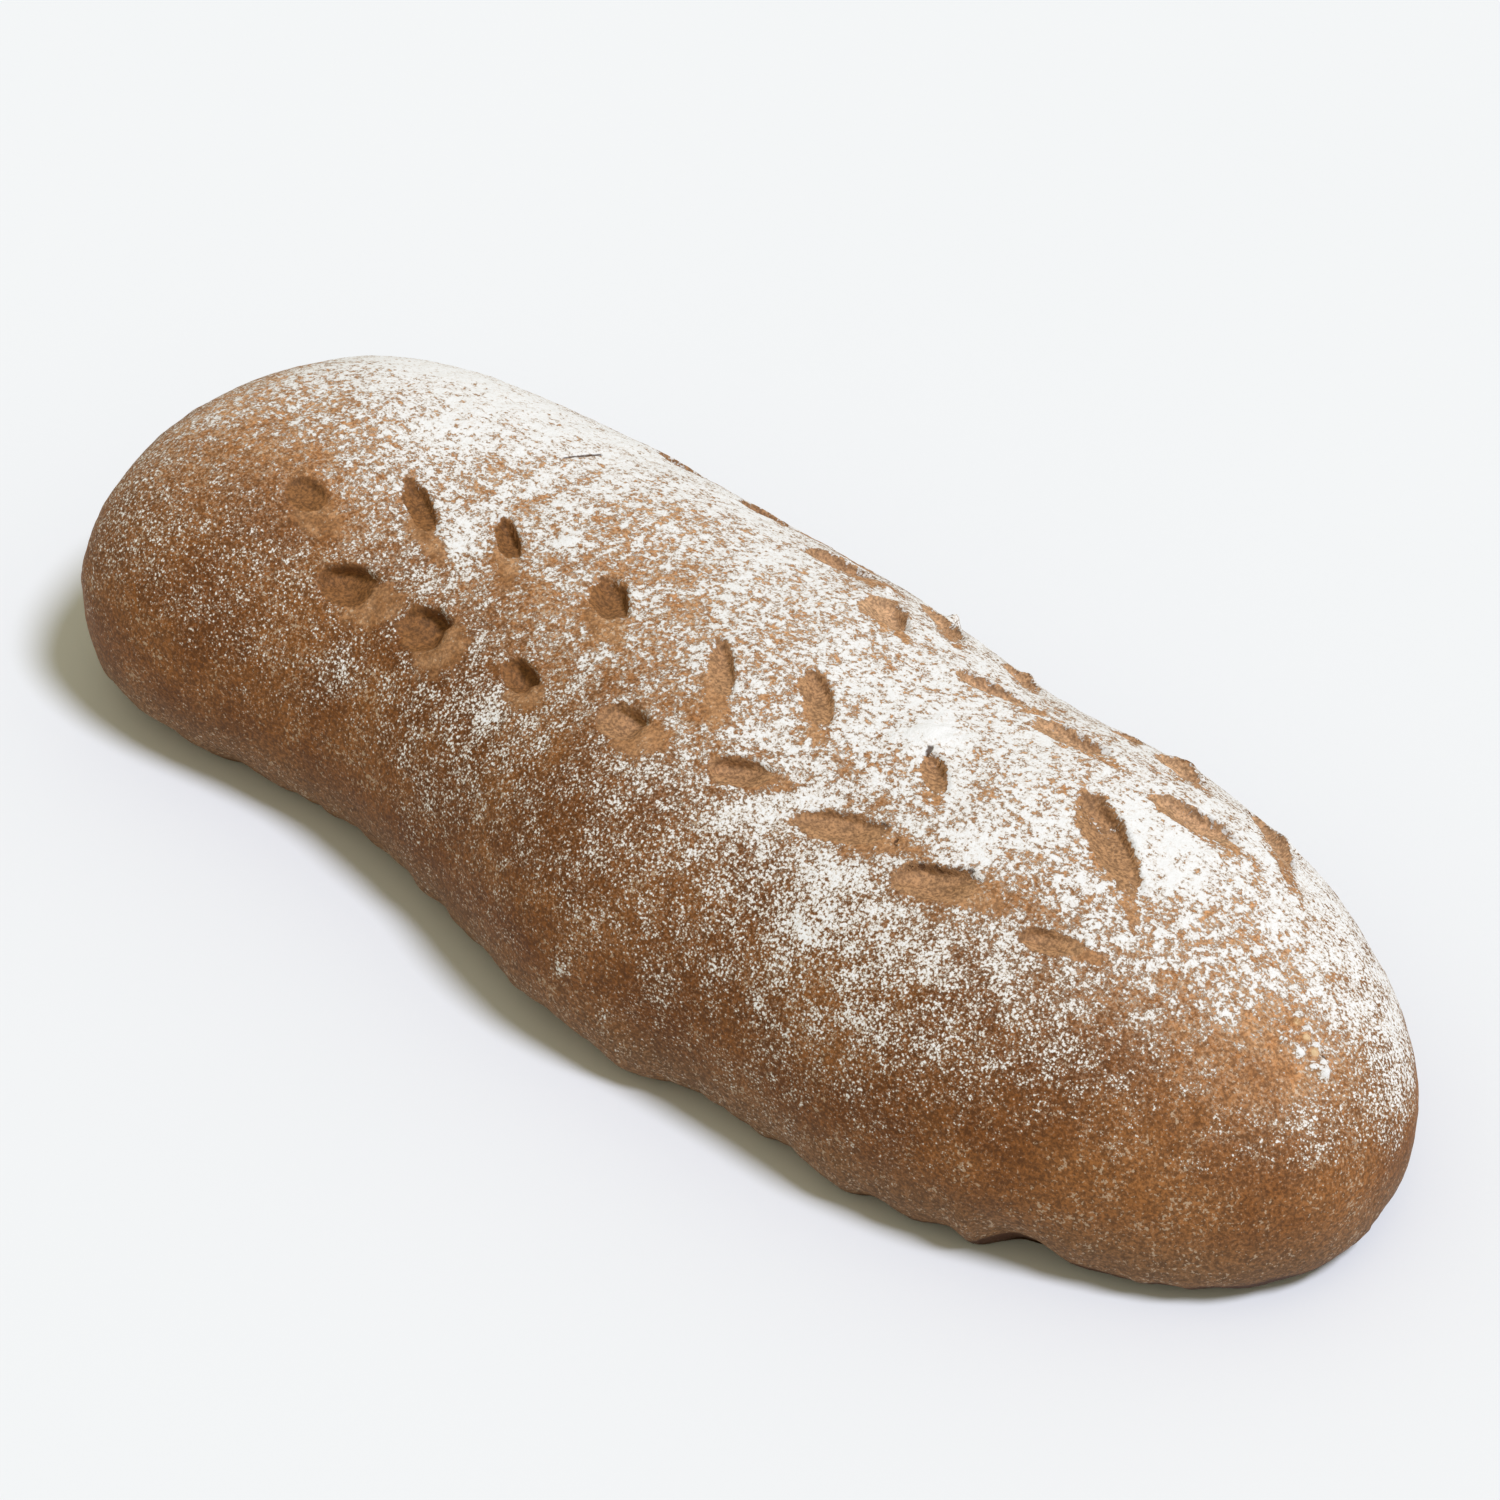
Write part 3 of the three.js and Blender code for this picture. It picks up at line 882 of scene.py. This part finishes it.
MEAL_BY_FOOT = (0, 1, 0.6, 0.85)
TEAR_SHOWS = (0.50, 0.57)
CRACK_SHOWS = (0.45, 0.75)
CRUMB_SHOWS = (0.25, 0.6, 0.0, 0.9)
ROUGHNESS = (0, 1, 0.72, 0.95)

# How strongly each layer covers what is below it.
FOOT_COVER = 0.8
SKIN_COVER = 0.75
FLOUR_COVER = 0.97
TEAR_SHADE_COVER = 0.9
LIP_COVER = 0.5
HEEL_SHADE_COVER = 0.85

# How far the edges of the marks' floors wander, and how much more those of the stretched skin do.
MARK_RAGGEDNESS = 0.7
SKIN_RAGGEDNESS = 1.6
# Specks are grains and noise together, shifted so that their middle stays; flakes have some of both.
GRAIN_SHARE, NOISE_SHARE, SPECK_SHIFT = 0.5, 0.75, 0.125
SPECKS_IN_FLAKES = 0.45
# Marks and stretched skin lose flour, as density. The spread is how far a density of 1 moves the pattern.
SKIN_BARENESS = 0.7
BARE_LOSS = 4.5
FLAKE_SPREAD = 0.062
MEAL_SWARMS, MEAL_CLOUDS = 0.45, 0.25
# What each pattern adds to the fine relief, and how high that relief is.
FLOUR_BUMP, FINE_BUMP, GRIT_BUMP, TEAR_BUMP = 0.5, 0.6, 0.5, 1.2
BUMP_STRENGTH = 0.85
BUMP_HEIGHT = 0.4 * MM
CRUST_SPECULAR = 0.25


class CrustNodes(Nodes):
    """The crust's node tree, with the amounts and patterns that its layers share."""

    def __init__(self, material):
        super().__init__(material)
        self.amount = {}
        for name in FIELDS:
            self.amount[name] = self.add("ShaderNodeAttribute", attribute_name=name).outputs["Fac"]
        self.broad = self.noise(*BROAD)
        self.middle = self.noise(*MIDDLE)
        self.fine = self.noise(*FINE)
        self.grit = self.noise(*GRIT)
        self.grit_gain = self.ramp(self.grit, *GRIT_TINT)
        self.fine_gain = self.ramp(self.fine, *FINE_TINT)

    def gritty(self, colour):
        return self.tint(colour, self.grit_gain)

    def freckled(self, colour):
        return self.tint(colour, self.fine_gain)


def bare_crust(n):
    """Light brown on top, dark down the sides, greyer at the foot."""
    side = n.mix(n.ramp(n.broad, *SIDE_MOTTLE), *SIDE_BROWNS)
    top = n.mix(n.ramp(n.middle, *TOP_MOTTLE), *TOP_BROWNS)
    brown = n.mix(n.amount["baked"], top, side)
    brown = n.mix(n.times(n.amount["foot"], FOOT_COVER), brown, FOOT_BROWN)
    return n.freckled(n.gritty(brown))


def mark_edges(n):
    """1 on the floor of a mark, and 1 in the stretched skin beside one, both with a ragged edge."""
    ragged = n.swing(n.noise(*RAGGED), MARK_RAGGEDNESS)
    pressed = n.ramp(n.plus(n.amount["inside"], ragged), *MARK_EDGE)
    skin = n.ramp(n.plus(n.amount["stretched"], n.times(ragged, SKIN_RAGGEDNESS)), *SKIN_EDGE)
    return pressed, skin


def add_marks(n, colour, pressed, skin):
    """The floors of the marks and the stretched skin, paler towards +X and the far side."""
    pale = n.amount["pale"]
    floor_tone = n.mix(n.ramp(pale, *NEAR_TO_MIDDLE), *PRESSED_BROWNS)
    floor_tone = n.mix(n.ramp(pale, *MIDDLE_TO_FAR), floor_tone, FAR_PRESSED_BROWN)
    skin_tone = n.mix(n.ramp(pale, *NEAR_TO_MIDDLE), *SKIN_BROWNS)
    skin_tone = n.mix(n.ramp(n.middle, *SKIN_MOTTLE), skin_tone, SKIN_LIGHT)
    colour = n.mix(n.times(skin, SKIN_COVER), colour, n.gritty(skin_tone))
    return n.mix(pressed, colour, n.freckled(n.gritty(floor_tone)))


def flour_level(n, bare):
    """Above 0 where flour shows: crackled flakes where it is thick, single specks where it is thin."""
    specks = n.plus(n.times(n.grains(SPECK_GRAIN), GRAIN_SHARE), n.times(n.noise(*SPECKS), NOISE_SHARE))
    specks = n.minus(specks, SPECK_SHIFT)
    flakes = n.plus(n.noise(*FLAKES), n.swing(specks, SPECKS_IN_FLAKES))
    grain = n.mix_numbers(n.amount["sifted"], flakes, specks)
    density = n.minus(n.amount["flour"], n.times(bare, BARE_LOSS))
    return n.plus(n.minus(grain, PATTERN_MIDDLE), n.times(density, FLAKE_SPREAD))


def flour_tone(n, level):
    """White where the flour is thick, with the crust showing through where it is thin."""
    thin = n.mix(n.amount["sifted"], THIN_FLOUR_TOP, THIN_FLOUR_SIDE)
    return n.mix(n.ramp(level, *FLOUR_THICK), thin, n.mix(n.fine, *THICK_FLOURS))


def add_veil(n, colour, level, bare):
    """A thin veil of dust between the flakes and specks."""
    veil = n.times(n.ramp(level, *VEIL_SHOWS), n.minus(1, bare))
    veil = n.times(veil, n.ramp(n.amount["sifted"], *VEIL_BY_SIFTING))
    return n.mix(veil, colour, FLOUR_VEIL)


def add_meal(n, colour, pressed):
    """Single grains of meal all over the crust, in loose swarms."""
    swarm = n.plus(n.swing(n.middle, MEAL_SWARMS), n.swing(n.broad, MEAL_CLOUDS))
    meal = n.ramp(n.plus(n.noise(*MEAL), swarm), *MEAL_SHOWS)
    meal = n.times(meal, n.minus(1, pressed))
    tone = n.mix(n.amount["baked"], MEAL_TOP, MEAL_SIDE)
    tone = n.mix(n.amount["foot"], tone, MEAL_FOOT)
    return n.mix(n.times(meal, n.ramp(n.amount["foot"], *MEAL_BY_FOOT)), colour, tone)


def tears(n):
    """1 in the torn lips and the cracks, which get fine relief and painted shade in their slits."""
    torn = n.times(n.amount["torn"], n.ramp(n.noise(*TEAR), *TEAR_SHOWS))
    return n.larger(torn, n.ramp(n.amount["cracked"], *CRACK_SHOWS))


def add_scars(n, colour, tear):
    """Tears and cracks painted dark as shade in their slits, painted shade under the lips, a painted shade
    line along the foot, and pale torn crumb.
    """
    # Tears and cracks painted dark as shade in their slits.
    colour = n.mix(n.times(tear, TEAR_SHADE_COVER), colour, TEAR_SHADE)
    colour = n.mix(n.times(n.amount["shelf"], LIP_COVER), colour, LIP_SHADE)
    # Painted shade along the foot, where the loaf meets the table.
    colour = n.mix(n.times(n.amount["heel_shade"], HEEL_SHADE_COVER), colour, HEEL_SHADE)
    crumb_tone = n.mix(n.ramp(n.fine, *CRUMB_MOTTLE), *CRUMB_TONES)
    return n.mix(n.ramp(n.amount["crumbly"], *CRUMB_SHOWS), colour, crumb_tone)


def crust_bump(n, floured, tear):
    """The normal with the flour, the grain of the crust and the tears as fine relief."""
    height = n.plus(n.times(floured, FLOUR_BUMP), n.times(n.fine, FINE_BUMP))
    height = n.plus(height, n.times(n.grit, GRIT_BUMP))
    height = n.minus(height, n.times(tear, TEAR_BUMP))
    bump = n.add("ShaderNodeBump")
    bump.inputs["Strength"].default_value = BUMP_STRENGTH
    bump.inputs["Distance"].default_value = BUMP_HEIGHT
    n.link(height, bump.inputs["Height"])
    return bump.outputs["Normal"]


def crust_material():
    material = bpy.data.materials.new("floured_crust")
    n = CrustNodes(material)
    pressed, skin = mark_edges(n)
    bare = n.larger(pressed, n.times(skin, SKIN_BARENESS))
    level = flour_level(n, bare)
    floured = n.ramp(level, *FLOUR_SHOWS)
    tear = tears(n)
    colour = add_marks(n, bare_crust(n), pressed, skin)
    colour = add_veil(n, colour, level, bare)
    colour = add_meal(n, colour, pressed)
    colour = n.mix(n.times(floured, FLOUR_COVER), colour, flour_tone(n, level))
    colour = add_scars(n, colour, tear)
    n.surface(colour, n.ramp(floured, *ROUGHNESS), CRUST_SPECULAR, crust_bump(n, floured, tear))
    return material


loaf = build_loaf()
loaf.data.materials.append(crust_material())
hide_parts("loaf")
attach(loaf, "root")

# ---------------------------------------------------------------- floor, light and camera

FLOOR_HALF_SIZE = 6
# The floor lies a hair below the base, so that the two don't share a plane.
FLOOR_DROP = 0.05 * MM
FLOOR_TONES = ((0.80, 0.81, 0.825), (0.82, 0.825, 0.84))
FLOOR_MOTTLE = (300, 2)
FLOOR_ROUGHNESS = 0.9
FLOOR_SPECULAR = 0.1

# Soft light from all round, and the plain backdrop.
SKY_STRENGTH = 0.45
SKY_COLOUR = (1.03, 0.985, 0.70)
BACKDROP_COLOUR = (0.90, 0.912, 0.92)

# Azimuths are in degrees from -Y towards +X, and elevations up from level.
KEY_AZIMUTH, KEY_ELEVATION = 98, 63
KEY_STRENGTH = 2.42
KEY_SPREAD = 15
KEY_COLOUR = (0.955, 1.0, 1.17)
KEY_DISTANCE = 2

CAMERA_ANGLE = 16
CAMERA_REACH = 100
CAMERA_TARGET = Vector((-2.2, 3.5, 40)) * MM + CENTRING
CAMERA_DISTANCE = 1.294
CAMERA_AZIMUTH, CAMERA_ELEVATION = 40.7, 42


def floor():
    mesh = bpy.data.meshes.new("floor")
    half = FLOOR_HALF_SIZE
    corners = [(-half, -half, 0), (half, -half, 0), (half, half, 0), (-half, half, 0)]
    mesh.from_pydata(corners, [], [(0, 1, 2, 3)])
    obj = bpy.data.objects.new("floor", mesh)
    obj.location.z = -FLOOR_DROP
    bpy.context.scene.collection.objects.link(obj)
    material = bpy.data.materials.new("pale_table")
    n = Nodes(material)
    n.surface(n.mix(n.noise(*FLOOR_MOTTLE), *FLOOR_TONES), FLOOR_ROUGHNESS, FLOOR_SPECULAR)
    mesh.materials.append(material)


def aimed(obj, at, distance, azimuth, elevation):
    """Puts obj at a distance from a point, on an azimuth from -Y and an elevation, facing the point."""
    turn, climb = math.radians(azimuth), math.radians(elevation)
    back = Vector((math.sin(turn) * math.cos(climb), -math.cos(turn) * math.cos(climb), math.sin(climb)))
    obj.location = at + back * distance
    obj.rotation_euler = back.to_track_quat("Z", "Y").to_euler()


def key_light():
    """One large soft light from above and to the right."""
    light = bpy.data.lights.new("key", "SUN")
    light.energy = KEY_STRENGTH
    light.angle = math.radians(KEY_SPREAD)
    light.color = KEY_COLOUR
    obj = bpy.data.objects.new("key", light)
    bpy.context.scene.collection.objects.link(obj)
    aimed(obj, Vector((0, 0, 0)), KEY_DISTANCE, KEY_AZIMUTH, KEY_ELEVATION)


def world():
    """Soft light from all round; past the edge of the floor a plain pale backdrop shows instead of it."""
    scene_world = bpy.data.worlds.new("studio")
    n = Nodes(scene_world)
    light = n.add("ShaderNodeBackground")
    light.inputs["Color"].default_value = (*SKY_COLOUR, 1)
    light.inputs["Strength"].default_value = SKY_STRENGTH
    backdrop = n.add("ShaderNodeBackground")
    backdrop.inputs["Color"].default_value = (*BACKDROP_COLOUR, 1)
    both = n.add("ShaderNodeMixShader")
    n.link(n.add("ShaderNodeLightPath").outputs["Is Camera Ray"], both.inputs[0])
    n.link(light.outputs["Background"], both.inputs[1])
    n.link(backdrop.outputs["Background"], both.inputs[2])
    n.link(both.outputs["Shader"], n.add("ShaderNodeOutputWorld").inputs["Surface"])
    bpy.context.scene.world = scene_world


def camera():
    data = bpy.data.cameras.new("camera")
    data.angle = math.radians(CAMERA_ANGLE)
    data.clip_end = CAMERA_REACH
    obj = bpy.data.objects.new("camera", data)
    bpy.context.scene.collection.objects.link(obj)
    aimed(obj, CAMERA_TARGET, CAMERA_DISTANCE, CAMERA_AZIMUTH, CAMERA_ELEVATION)
    bpy.context.scene.camera = obj


floor()
world()
key_light()
camera()
bpy.context.scene.view_settings.view_transform = "Standard"
